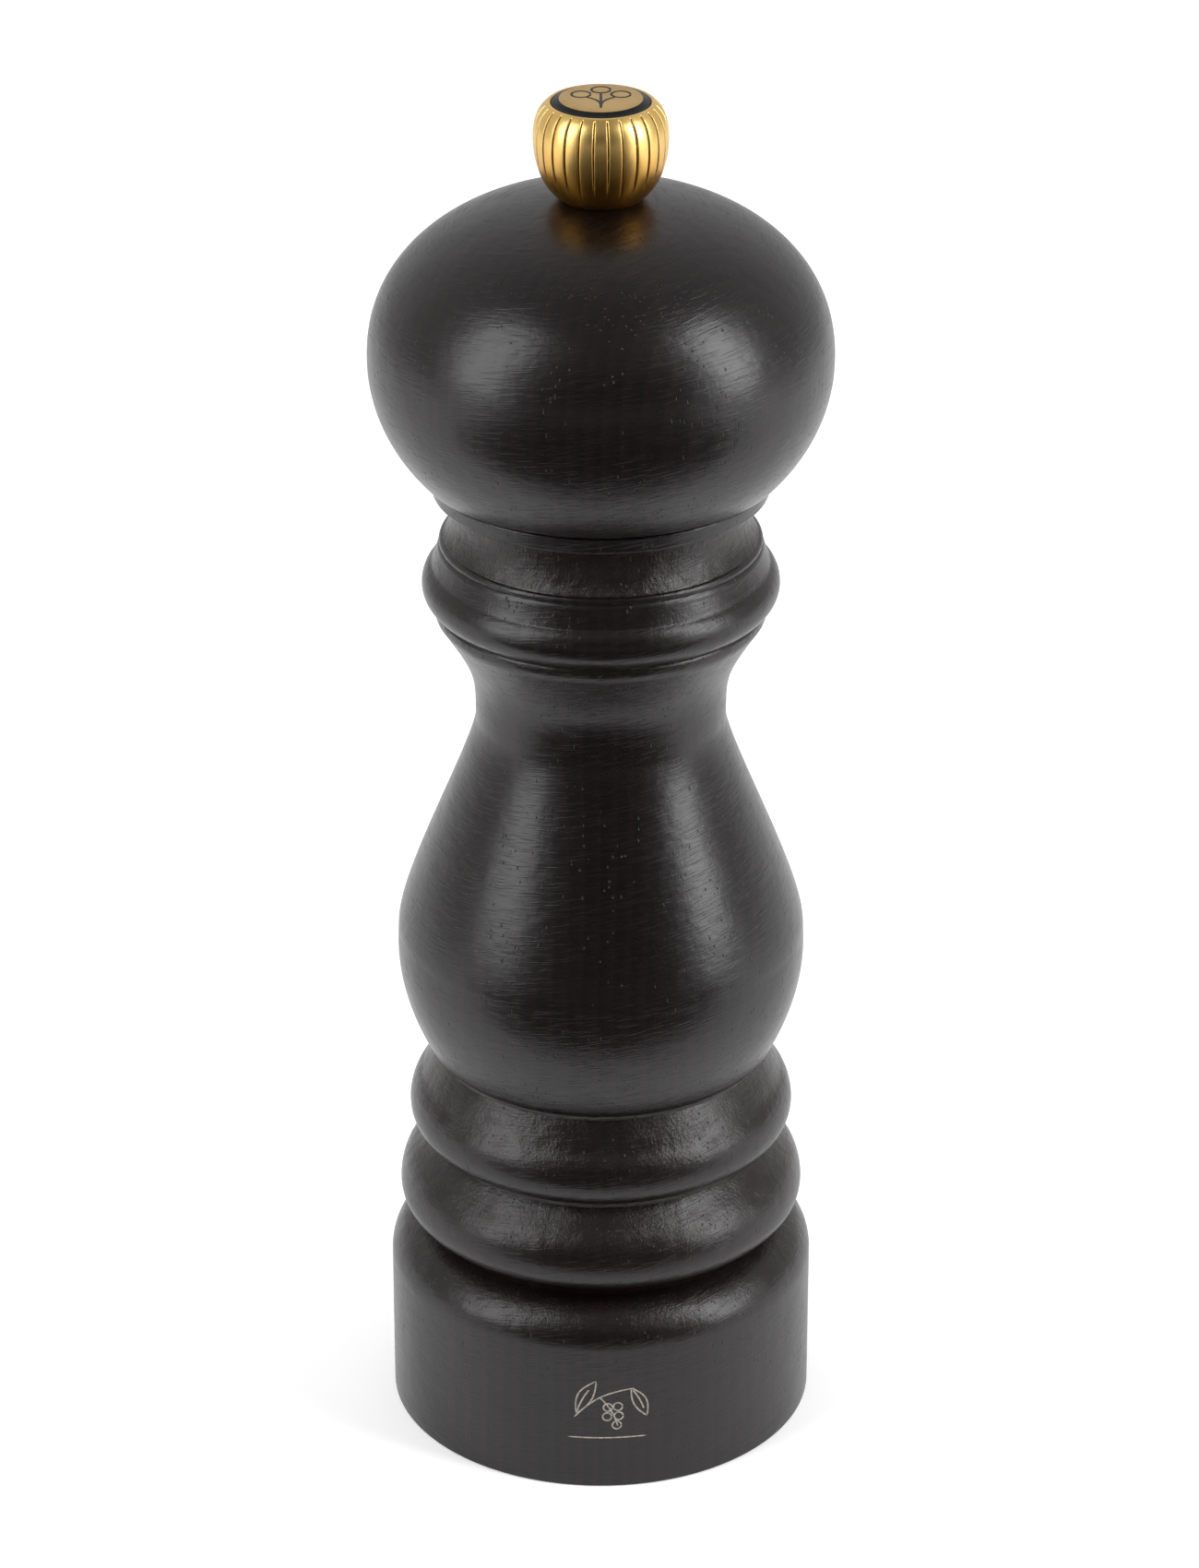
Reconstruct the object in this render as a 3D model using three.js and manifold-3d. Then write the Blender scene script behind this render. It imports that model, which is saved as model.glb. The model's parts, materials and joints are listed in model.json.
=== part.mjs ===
// Pepper mill with a turned wooden body and head, a fluted brass knob and a steel grinding set.
// Millimetres, +Z up along the turning axis. The origin is the centre of the foot, on the table.
// The front of the mill faces -Y.

import * as THREE from 'three';
import { mergeVertices } from 'three/addons/utils/BufferGeometryUtils.js';
import Module from 'manifold-3d';

const wasm = await Module();
wasm.setup();

// ---------------------------------------------------------------- driving dimensions

const GAP = 0.3; // running gap between pieces that touch on the bench

// Turned outline of the body
const FOOT = { r: 27.6, wallTop: 20.3, shoulder: 5.5, edge: 0.2 };
const GROOVE_3 = { r: 22.3, z: 25.9 };
const BEAD_2 = { r: 26.3, z: 31.2, under: 3.55, over: 6.9 };
const GROOVE_2 = { r: 21.9, z: 38.7 };
const BEAD_1 = { r: 24.9, z: 43.0, under: 3.7, over: 5.8 };
const GROOVE_1 = { r: 21.2, z: 51.0 };
const BELLY = { r: 26.04, z: 68.7 };
const PEAR_FOOT = { r: 22.3, z: 52.3 };
const NECK = { r: 15.83, z: 98.5 };
const COLLAR_STEP = { r: 20.7, z: 112.3, rise: 0.9, quirk: 0.4 };
const COLLAR = { r: 22.4, z: 116.7, under: 3.0, over: 3.2 };
const ARRIS = { r: 19.6, z: 122.9 };
const BODY_TOP = { r: 18.5, z: 128.9 };

// Hollows of the body
const RECESS = { r: 20.5, top: 22 }; // takes the grinding set from below
const HOPPER_R = 12;
const SOCKET = { r: 14.4, floor: 116 }; // takes the head's tenon

// Turned outline of the head
const HEAD_BOTTOM = BODY_TOP.z + GAP;
const FLANGE = { r: 21.0, top: 131.6, swell: 0.3, edge: 0.3, quirk: 22.6 };
const BALL = { r: 28.7, z: 146.8, below: 23.6, above: 20.75, power: 2.19 };
const HEAD_TOP = { r: 4.8, seat: 166.9 };
const TENON = { r: 14.0, bottom: 120 };
const HEAD_BORE_R = 3.9;

// Knob
const KNOB = { bottom: 168.1, top: 180, footR: 4.7, r: 8.2, lipR: 6.3, waist: 175 };
const FLUTES = { count: 28, depth: 0.22, from: 169.8, to: 178.6 };
const KNOB_BORE = { lip: 3.3, r: 4.3, floor: 170.2 };
const CAP = { r: 5.9, seat: 178.6, thick: 1.0, crown: 0.25 };

// Shaft
const SHAFT = { side: 5.6, corner: 3.6, bottom: 4.9, shoulder: 160, top: 176.4, threadR: 2.45 };
const THREAD = { pitch: 0.8, depth: 0.35 };
const CLIP_GROOVE = { r: 2.2, z: 6.1, width: 1.2 };

// Grinding set
const STATOR = { outer: 16, bottom: 9, top: 20.1, throat: 11.0, mouth: 13.6, flat: 2.4 };
const ROTOR = { bottom: 9, top: 17.4, foot: 10.6, head: 7.6, flat: 2.4, pocketR: 5.8, pocketFloor: 11.6 };
const TEETH = { count: 20, depth: 0.9, twist: 0.045 };
const BRIDGE = { outer: 20.2, inner: 12.2, bottom: 20.4, top: 21.7 };
const BRIDGE_HUB = { r: 6.6, top: 24.5, arms: 2, armWidth: 4 };
const BUSH = { bore: 3.9, outer: 4.7, flange: 6.2, bottom: 19.9, top: 26.0, rim: 1.0 };
const PLATE = { outer: 20.2, inner: 12.2, bottom: 7.2, top: 8.7 };
const RETAINING_SCREWS = {
  count: 3, ring: 18, shank: 1.25, head: 2.1, headBottom: 5.1, headTop: 6.9, tip: 31,
};
const THRUST = { outer: 6.4, bottom: 18.2, top: 19.4 };
const SPRING = { mean: 4.9, wire: 0.45, bottom: 12.4, top: 17.4, turns: 5 };
const ROTOR_WASHER = { outer: 6.5, bottom: 7.4, top: 8.6 };
const CLIP = { inner: 2.5, outer: 4.8, thick: 0.6, mouth: 3.6 };

// Head fittings
const DRIVE_PLATE = { outer: 13.4, bottom: 118.2, top: 119.7 };
const DRIVE_SCREWS = {
  count: 3, ring: 10, shank: 1.05, head: 2.0, headBottom: 116.9, headTop: 117.9, tip: 127,
};
const SEAT_WASHER = { inner: 2.9, outer: 4.4, bottom: 167.2, top: 167.8 };
const INSERT = { bore: 2.75, outer: 4.0, bottom: 170.5, top: 177 };

const ROUND = { wood: 34, small: 16, metal: 24 }; // flats around a turned piece

// ---------------------------------------------------------------- materials

const finish = (color, roughness, metalness) =>
  new THREE.MeshStandardMaterial({ color, roughness, metalness });
const WOOD = () => finish('#1d1815', 0.42, 0);
const BRASS = () => finish('#c99a3c', 0.32, 1);
const GRINDING_STEEL = () => finish('#6f6f70', 0.45, 1);
const BRIGHT_STEEL = () => finish('#b4b4b2', 0.3, 1);
const SPRING_STEEL = () => finish('#8d8d8c', 0.35, 1);
const NYLON = () => finish('#d9d4c6', 0.55, 0);
const PRINTED_DISC = () => finish('#b98a3a', 0.4, 1);

// ---------------------------------------------------------------- outline helpers

const at = (r, z) => new THREE.Vector2(r, z);

// Points of a round stretch: radii rr across and rz along the axis, from angle a to angle b in degrees.
function arc(r, z, rr, rz, a, b, steps) {
  const points = [];
  for (let i = 0; i <= steps; i++) {
    const t = THREE.MathUtils.degToRad(a + ((b - a) * i) / steps);
    points.push(at(r + rr * Math.cos(t), z + rz * Math.sin(t)));
  }
  return points;
}

// Points of a free curve from one outline point to another, with its two handles.
function curve(from, handleA, handleB, to, steps) {
  return new THREE.CubicBezierCurve(from, handleA, handleB, to).getPoints(steps);
}

// A bead: a tight quarter below its widest point and a wider one above it.
function bead({ r, z, under, over }, lowAngle, highAngle) {
  const lower = arc(r - under, z, under, under, -lowAngle, 0, 3);
  const upper = arc(r - over, z, over, over, 0, highAngle, 3);
  return [...lower, ...upper.slice(1)];
}

// ---------------------------------------------------------------- solid helpers

function toManifold(geometry) {
  const bare = geometry.clone();
  bare.deleteAttribute('normal');
  bare.deleteAttribute('uv');
  const merged = mergeVertices(bare, 1e-4);
  const vertProperties = new Float32Array(merged.attributes.position.array);
  const triVerts = new Uint32Array(merged.index.array);
  return new wasm.Manifold(new wasm.Mesh({ numProp: 3, vertProperties, triVerts }));
}

function toGeometry(solid) {
  const mesh = solid.getMesh();
  const geometry = new THREE.BufferGeometry();
  geometry.setAttribute('position', new THREE.BufferAttribute(new Float32Array(mesh.vertProperties), 3));
  geometry.setIndex(new THREE.BufferAttribute(new Uint32Array(mesh.triVerts), 1));
  geometry.computeVertexNormals();
  return geometry;
}

function cut(geometry, ...tools) {
  return toGeometry(tools.reduce((solid, tool) => solid.subtract(toManifold(tool)), toManifold(geometry)));
}

function join(geometry, ...others) {
  return toGeometry(others.reduce((solid, other) => solid.add(toManifold(other)), toManifold(geometry)));
}

// Turn an outline about Z. An outline that leaves the axis is closed on itself.
function turned(points, flats) {
  const onAxis = points[0].x === 0 && points.at(-1).x === 0;
  const outline = onAxis ? points : [...points, points[0].clone()];
  return new THREE.LatheGeometry(outline, flats).rotateX(Math.PI / 2);
}

const disc = (r, bottom, top, flats = ROUND.metal) =>
  turned([at(0, bottom), at(r, bottom), at(r, top), at(0, top)], flats);

const ring = (inner, outer, bottom, top, flats = ROUND.metal) =>
  turned([at(inner, bottom), at(outer, bottom), at(outer, top), at(inner, top)], flats);

const bar = (x, y, bottom, top) =>
  new THREE.BoxGeometry(x, y, top - bottom).translate(0, 0, (bottom + top) / 2);

// Places spread evenly around the axis.
function around(count, radius, make, startAngle = Math.PI / 2) {
  return Array.from({ length: count }, (_, i) => {
    const angle = startAngle + (i * 2 * Math.PI) / count;
    return make(radius * Math.cos(angle), radius * Math.sin(angle), angle);
  });
}

// A square section with cut corners, which still turns inside a round hole.
function squareSection(side, corner, bottom, top) {
  const round = disc(corner, bottom, top, ROUND.small);
  return toGeometry(toManifold(bar(side, side, bottom, top)).intersect(toManifold(round)));
}

const squareHole = (bottom, top) => bar(SHAFT.side + 2 * GAP, SHAFT.side + 2 * GAP, bottom, top);

// ---------------------------------------------------------------- wooden pieces

function bodyGeometry() {
  const shoulderR = FOOT.r - FOOT.shoulder;
  const belly = at(BELLY.r, BELLY.z);
  const neck = at(NECK.r, NECK.z);
  const flare = at(COLLAR_STEP.r, COLLAR_STEP.z);
  const arris = at(ARRIS.r, ARRIS.z);
  const outside = [
    at(FOOT.r - FOOT.edge, 0),
    at(FOOT.r, FOOT.edge),
    ...arc(shoulderR, FOOT.wallTop, FOOT.shoulder, FOOT.shoulder, 0, 80, 4),
    at(GROOVE_3.r, GROOVE_3.z),
    ...bead(BEAD_2, 75, 40),
    at(GROOVE_2.r, GROOVE_2.z),
    ...bead(BEAD_1, 75, 42),
    at(GROOVE_1.r, GROOVE_1.z),
    ...curve(at(PEAR_FOOT.r, PEAR_FOOT.z), at(27.0, 61.2), at(BELLY.r, 66.8), belly, 7),
    ...curve(belly, at(BELLY.r, 74.4), at(NECK.r, 94.3), neck, 7).slice(1),
    ...curve(neck, at(NECK.r, 103.8), at(15.8, 105.2), flare, 5).slice(1),
    at(COLLAR_STEP.r, COLLAR_STEP.z + COLLAR_STEP.rise),
    at(COLLAR_STEP.r - COLLAR_STEP.quirk, COLLAR_STEP.z + COLLAR_STEP.rise + 0.3),
    ...bead(COLLAR, 62, 52),
    ...curve(at(21.0, 119.6), at(20.5, 120.5), at(20.4, 122), arris, 3),
    ...curve(arris, at(18.6, 124.2), at(18.2, 126.2), at(BODY_TOP.r, BODY_TOP.z), 4).slice(1),
  ];
  const inside = [
    at(SOCKET.r, BODY_TOP.z),
    at(SOCKET.r, SOCKET.floor),
    at(HOPPER_R, SOCKET.floor),
    at(HOPPER_R, RECESS.top),
    at(RECESS.r, RECESS.top),
    at(RECESS.r, 0),
  ];
  const { count, ring: pcr, shank, tip } = RETAINING_SCREWS;
  const pilots = around(count, pcr, (x, y) =>
    disc(shank + GAP, RECESS.top - 1, tip + 1, 12).translate(x, y, 0));
  return cut(turned([...outside, ...inside], ROUND.wood), ...pilots);
}

function headGeometry() {
  const { r, z, below, above, power } = BALL;
  const lowest = Math.acos(FLANGE.quirk / r);
  const lower = arc(0, z, r, below, -THREE.MathUtils.radToDeg(lowest), 0, 8);
  // Above, a fuller curve than an ellipse: each coordinate is a power of the sine or the cosine. It
  // stops at the edge of the flat that the knob's washer lies on.
  const highest = Math.acos((HEAD_TOP.r / r) ** (power / 2));
  const crownSteps = 10;
  const upper = [];
  for (let i = 1; i <= crownSteps; i++) {
    const t = (i / crownSteps) * highest;
    upper.push(at(r * Math.cos(t) ** (2 / power), z + above * Math.sin(t) ** (2 / power)));
  }
  const outline = [
    at(HEAD_BORE_R, TENON.bottom),
    at(TENON.r, TENON.bottom),
    at(TENON.r, HEAD_BOTTOM),
    at(FLANGE.r - FLANGE.edge, HEAD_BOTTOM),
    at(FLANGE.r, HEAD_BOTTOM + FLANGE.edge),
    at(FLANGE.r + FLANGE.swell, FLANGE.top),
    ...lower,
    ...upper,
    at(HEAD_TOP.r, HEAD_TOP.seat),
    at(HEAD_BORE_R, HEAD_TOP.seat),
  ];
  const { count, ring: pcr, shank, tip } = DRIVE_SCREWS;
  const pilots = around(count, pcr, (x, y) =>
    disc(shank + GAP, TENON.bottom - 1, tip + 1, 12).translate(x, y, 0));
  return cut(turned(outline, ROUND.wood), ...pilots);
}

// ---------------------------------------------------------------- knob

function knobGeometry() {
  const waist = at(KNOB.r, KNOB.waist);
  const low = curve(at(KNOB.footR, KNOB.bottom), at(7.0, 168.9), at(KNOB.r, 172), waist, 6);
  const high = curve(waist, at(KNOB.r, 177.2), at(7.6, 178.8), at(KNOB.lipR, KNOB.top), 5);
  const outline = [
    ...low,
    ...high.slice(1),
    at(CAP.r + GAP, KNOB.top),
    at(CAP.r + GAP, CAP.seat),
    at(KNOB_BORE.r, CAP.seat),
    at(KNOB_BORE.r, KNOB_BORE.floor),
    at(KNOB_BORE.lip, KNOB_BORE.floor),
    at(KNOB_BORE.lip, KNOB.bottom),
  ];
  const geometry = turned(outline, FLUTES.count * 2);
  // Press the flutes in: every second line of points between the two ends of the flutes moves inwards.
  const position = geometry.attributes.position;
  for (let i = 0; i < position.count; i++) {
    const x = position.getX(i);
    const y = position.getY(i);
    const z = position.getZ(i);
    const radius = Math.hypot(x, y);
    const fluted = radius > CAP.r + 2 * GAP && z > FLUTES.from && z < FLUTES.to;
    const line = Math.round((Math.atan2(y, x) * FLUTES.count) / Math.PI);
    if (fluted && line % 2 !== 0) {
      const scale = (radius - FLUTES.depth) / radius;
      position.setXY(i, x * scale, y * scale);
    }
  }
  return geometry;
}

function capGeometry() {
  const bottom = CAP.seat + GAP;
  const top = bottom + CAP.thick;
  const crown = curve(at(CAP.r, top - CAP.crown), at(CAP.r - 0.2, top), at(2, top), at(0, top), 4);
  return turned([at(0, bottom), at(CAP.r, bottom), ...crown], ROUND.metal);
}

// ---------------------------------------------------------------- shaft

function shaftGeometry() {
  const square = squareSection(SHAFT.side, SHAFT.corner, SHAFT.bottom, SHAFT.shoulder);
  const root = SHAFT.threadR - THREAD.depth;
  const turns = Math.floor((SHAFT.top - 168) / THREAD.pitch);
  const start = SHAFT.shoulder - 1;
  const thread = [at(0, start), at(root, start), at(root, SHAFT.top - turns * THREAD.pitch)];
  for (let i = turns; i > 0; i--) {
    const z = SHAFT.top - i * THREAD.pitch;
    thread.push(at(SHAFT.threadR, z + THREAD.pitch / 2), at(root, z + THREAD.pitch));
  }
  thread.push(at(0, SHAFT.top));
  const { r, z, width } = CLIP_GROOVE;
  const groove = ring(r, SHAFT.corner + 1, z, z + width, ROUND.small);
  return cut(join(square, turned(thread, ROUND.small / 2)), groove);
}

// ---------------------------------------------------------------- grinding set

// Ridge height between 0 and 1 of a saw tooth, leaning with the height, so that the teeth wind round.
function toothAt(angle, z) {
  const phase = (angle * TEETH.count) / (2 * Math.PI) + z * TEETH.twist * TEETH.count;
  return phase - Math.floor(phase);
}

// Turn an outline and press helical teeth into its points that pass the test.
function toothed(outline, direction, isTooth) {
  const geometry = turned(outline, TEETH.count * 3);
  const position = geometry.attributes.position;
  for (let i = 0; i < position.count; i++) {
    const x = position.getX(i);
    const y = position.getY(i);
    const z = position.getZ(i);
    const radius = Math.hypot(x, y);
    if (isTooth(radius, z)) {
      const seam = Math.abs(y) < 1e-6 && x < 0 ? Math.PI : Math.atan2(y, x);
      const scale = (radius + direction * TEETH.depth * toothAt(seam, z)) / radius;
      position.setXY(i, x * scale, y * scale);
    }
  }
  return geometry;
}

function statorGeometry() {
  const { outer, bottom, top, throat, mouth, flat } = STATOR;
  const rows = 4;
  const bore = Array.from({ length: rows }, (_, i) => {
    const t = 1 - i / (rows - 1);
    return at(throat + (mouth - throat) * t, bottom + flat + (top - bottom - flat) * t);
  });
  const outline = [at(throat, bottom), at(outer, bottom), at(outer, top), ...bore];
  return toothed(outline, 1, (radius) => radius < outer - 1);
}

function rotorGeometry() {
  const { bottom, top, foot, head, flat, pocketR, pocketFloor } = ROTOR;
  const rows = 4;
  const cone = Array.from({ length: rows }, (_, i) => {
    const t = i / (rows - 1);
    return at(foot + (head - foot) * t, bottom + flat + (top - bottom - flat) * t);
  });
  const outline = [at(0, bottom), at(foot, bottom), ...cone, at(0, top)];
  const solid = toothed(outline, -1, (radius) => radius > 1);
  return cut(solid, disc(pocketR, pocketFloor, top + 1), squareHole(bottom - 1, pocketFloor + 1));
}

function bridgeGeometry() {
  const { outer, inner, bottom, top } = BRIDGE;
  const rim = ring(inner, outer, bottom, top);
  const hub = disc(BRIDGE_HUB.r, bottom, BRIDGE_HUB.top);
  const reach = inner - BRIDGE_HUB.r + 2;
  const spokes = around(BRIDGE_HUB.arms, (inner + BRIDGE_HUB.r) / 2, (x, y, angle) =>
    bar(reach, BRIDGE_HUB.armWidth, bottom, top).rotateZ(angle).translate(x, y, 0), 0);
  const bore = disc(BUSH.outer + GAP, bottom - 1, BRIDGE_HUB.top + 1);
  return cut(join(rim, hub, ...spokes), bore, ...screwHoles(RETAINING_SCREWS, bottom, top));
}

function screwHoles({ count, ring: pcr, shank }, bottom, top) {
  return around(count, pcr, (x, y) => disc(shank + GAP, bottom - 1, top + 1, 16).translate(x, y, 0));
}

function bushGeometry() {
  const { bore, outer, flange, bottom, top, rim } = BUSH;
  const collar = BRIDGE_HUB.top + GAP;
  return turned([at(bore, bottom), at(outer, bottom), at(outer, collar), at(flange, collar),
    at(flange, collar + rim), at(bore, Math.max(top, collar + rim))], ROUND.small);
}

function retainingPlateGeometry() {
  const { outer, inner, bottom, top } = PLATE;
  return cut(ring(inner, outer, bottom, top), ...screwHoles(RETAINING_SCREWS, bottom, top));
}

// A screw driven upwards: a domed, slotted head below and a pointed shank above.
function screwGeometry({ shank, head, headBottom, headTop, tip }) {
  const dome = arc(0, headTop, head, headTop - headBottom, -90, 0, 4).slice(1);
  const outline = [at(0, headBottom), ...dome, at(shank, headTop), at(shank, tip - 2), at(0, tip)];
  const slot = bar(2 * head + 1, 0.5, headBottom - 1, headBottom + 0.6);
  return cut(turned(outline, 12), slot);
}

function springGeometry() {
  const { mean, wire, bottom, top, turns } = SPRING;
  const rise = top - bottom - 2 * wire;
  class Helix extends THREE.Curve {
    getPoint(t, target = new THREE.Vector3()) {
      const angle = t * turns * 2 * Math.PI;
      return target.set(mean * Math.cos(angle), mean * Math.sin(angle), bottom + wire + rise * t);
    }
  }
  const section = new THREE.Shape().absarc(0, 0, wire, 0, 2 * Math.PI);
  const options = { steps: turns * 12, extrudePath: new Helix(), curveSegments: 3 };
  return new THREE.ExtrudeGeometry(section, options);
}

function clipGeometry() {
  const bottom = CLIP_GROOVE.z + (CLIP_GROOVE.width - CLIP.thick) / 2;
  const top = bottom + CLIP.thick;
  const whole = ring(CLIP.inner, CLIP.outer, bottom, top, ROUND.small);
  const reach = CLIP.outer + 1;
  const mouth = bar(CLIP.mouth, reach, bottom - 1, top + 1).translate(0, reach / 2, 0);
  return cut(whole, mouth);
}

const plainWasher = ({ inner, outer, bottom, top }) => ring(inner, outer, bottom, top);

const squareWasher = ({ outer, bottom, top }) =>
  cut(disc(outer, bottom, top), squareHole(bottom - 1, top + 1));

function drivePlateGeometry() {
  const { outer, bottom, top } = DRIVE_PLATE;
  const holes = screwHoles(DRIVE_SCREWS, bottom, top);
  return cut(disc(outer, bottom, top), squareHole(bottom - 1, top + 1), ...holes);
}

// ---------------------------------------------------------------- assembly

const mill = new THREE.Group();

function add(name, geometry, material, parent = mill) {
  const mesh = new THREE.Mesh(geometry, material);
  mesh.name = name;
  parent.add(mesh);
  return mesh;
}

function addScrews(name, sizes, material) {
  around(sizes.count, sizes.ring, (x, y, angle) => {
    const index = Math.round(((angle - Math.PI / 2) * sizes.count) / (2 * Math.PI)) + 1;
    const screw = add(`${name}_${index}`, screwGeometry(sizes), material());
    screw.position.set(x, y, 0);
    screw.rotation.z = angle;
  });
}

add('body', bodyGeometry(), WOOD());
add('head', headGeometry(), WOOD());
add('knob', knobGeometry(), BRASS());
add('knob_cap', capGeometry(), PRINTED_DISC());
add('knob_insert', ring(INSERT.bore, INSERT.outer, INSERT.bottom, INSERT.top, ROUND.small), BRASS());
add('seat_washer', plainWasher(SEAT_WASHER), BRASS());
add('shaft', shaftGeometry(), BRIGHT_STEEL());
add('drive_plate', drivePlateGeometry(), BRIGHT_STEEL());
addScrews('drive_screw', DRIVE_SCREWS, BRIGHT_STEEL);
add('bridge', bridgeGeometry(), BRIGHT_STEEL());
add('shaft_bush', bushGeometry(), NYLON());
add('stator', statorGeometry(), GRINDING_STEEL());
add('retaining_plate', retainingPlateGeometry(), BRIGHT_STEEL());
addScrews('retaining_screw', RETAINING_SCREWS, BRIGHT_STEEL);
add('thrust_washer', squareWasher(THRUST), BRIGHT_STEEL());
add('spring', springGeometry(), SPRING_STEEL());
add('rotor', rotorGeometry(), GRINDING_STEEL());
add('rotor_washer', squareWasher(ROTOR_WASHER), BRIGHT_STEEL());
add('retaining_clip', clipGeometry(), SPRING_STEEL());

export default mill;
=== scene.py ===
"""Pepper mill: fine surfaces and finishes for a turned wooden mill with a fluted brass knob.

Everything is in metres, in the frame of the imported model: +Z runs up the turning axis, the front
faces -Y, and the origin is the centre of the foot. Sizes inside the classes are in millimetres, as a
turner would write them down, and MM turns them into metres.
"""

import json
import logging
import math
from collections.abc import Mapping, Sequence
from dataclasses import dataclass, field
from enum import Enum

import bmesh
import bpy
import numpy as np
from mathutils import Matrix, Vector


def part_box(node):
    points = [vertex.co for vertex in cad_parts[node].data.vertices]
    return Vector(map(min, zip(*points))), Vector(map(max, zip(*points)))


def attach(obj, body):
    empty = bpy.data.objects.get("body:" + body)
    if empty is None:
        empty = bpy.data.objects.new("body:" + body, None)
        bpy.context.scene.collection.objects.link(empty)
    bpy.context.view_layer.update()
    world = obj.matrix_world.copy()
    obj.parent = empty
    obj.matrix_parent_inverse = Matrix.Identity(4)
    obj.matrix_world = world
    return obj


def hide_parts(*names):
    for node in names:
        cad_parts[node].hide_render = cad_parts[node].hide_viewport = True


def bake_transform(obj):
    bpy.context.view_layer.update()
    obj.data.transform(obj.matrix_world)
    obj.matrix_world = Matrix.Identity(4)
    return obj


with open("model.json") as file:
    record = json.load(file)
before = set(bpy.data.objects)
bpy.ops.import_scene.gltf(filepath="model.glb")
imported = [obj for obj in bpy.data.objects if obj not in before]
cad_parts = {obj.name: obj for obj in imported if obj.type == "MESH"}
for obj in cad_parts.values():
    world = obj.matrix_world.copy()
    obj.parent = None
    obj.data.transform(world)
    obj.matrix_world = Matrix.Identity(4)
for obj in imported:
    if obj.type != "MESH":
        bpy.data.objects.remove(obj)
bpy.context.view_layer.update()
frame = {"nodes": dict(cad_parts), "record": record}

log = logging.getLogger("pepper_mill")

MM = 0.001
TORN_MM = 0.03  # how far torn grain stands in and out
FULL_TURN = 2 * math.pi

Array = np.ndarray
Colour = tuple[float, float, float]


class Body(Enum):
    """The rigid bodies that a piece can ride on."""

    MILL = "mill_body"
    DRIVE = "drive"
    SPINDLE = "spindle"
    HEAD = "turning_head"
    KNOB = "adjusting_knob"


class Slot(Enum):
    """The record's material slots."""

    WOOD = "stained_wood"
    BRASS = "brass"
    DISC = "printed_disc"
    GRINDING_STEEL = "grinding_steel"
    BRIGHT_STEEL = "bright_steel"
    SPRING_STEEL = "spring_steel"
    BUSH = "bush_plastic"


# ------------------------------------------------------------------------------------ shader maths


class Value:
    """A shader socket that takes part in arithmetic, so that a pattern reads as a formula."""

    def __init__(self, graph: "Graph", socket: bpy.types.NodeSocket) -> None:
        """Wraps a socket of a graph."""
        self.graph = graph
        self.socket = socket

    def _math(self, operation: str, first: "Operand", second: "Operand") -> "Value":
        """Adds one Math node for an operation on two operands."""
        return self.graph.add("ShaderNodeMath", {"operation": operation}, {0: first, 1: second})

    def __add__(self, other: "Operand") -> "Value":
        """Sum."""
        return self._math("ADD", self, other)

    def __sub__(self, other: "Operand") -> "Value":
        """Difference."""
        return self._math("SUBTRACT", self, other)

    def __rsub__(self, other: "Operand") -> "Value":
        """Difference, with the number on the left."""
        return self._math("SUBTRACT", other, self)

    def __mul__(self, other: "Operand") -> "Value":
        """Product."""
        return self._math("MULTIPLY", self, other)

    __radd__ = __add__
    __rmul__ = __mul__

    def sibling(self, output: int | str) -> "Value":
        """Another output of the same node."""
        return Value(self.graph, self.socket.node.outputs[output])

    def highest(self, other: "Operand") -> "Value":
        """The larger of two values."""
        return self._math("MAXIMUM", self, other)

    def step(self, low: float, high: float) -> "Value":
        """A smooth step from 0 at low to 1 at high; low may be the larger of the two."""
        turned = low > high
        edges = {1: min(low, high), 2: max(low, high)}
        rise = self.graph.add(
            "ShaderNodeMapRange", {"interpolation_type": "SMOOTHSTEP"}, {0: self, **edges})
        return 1 - rise if turned else rise


Operand = Value | float


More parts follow.
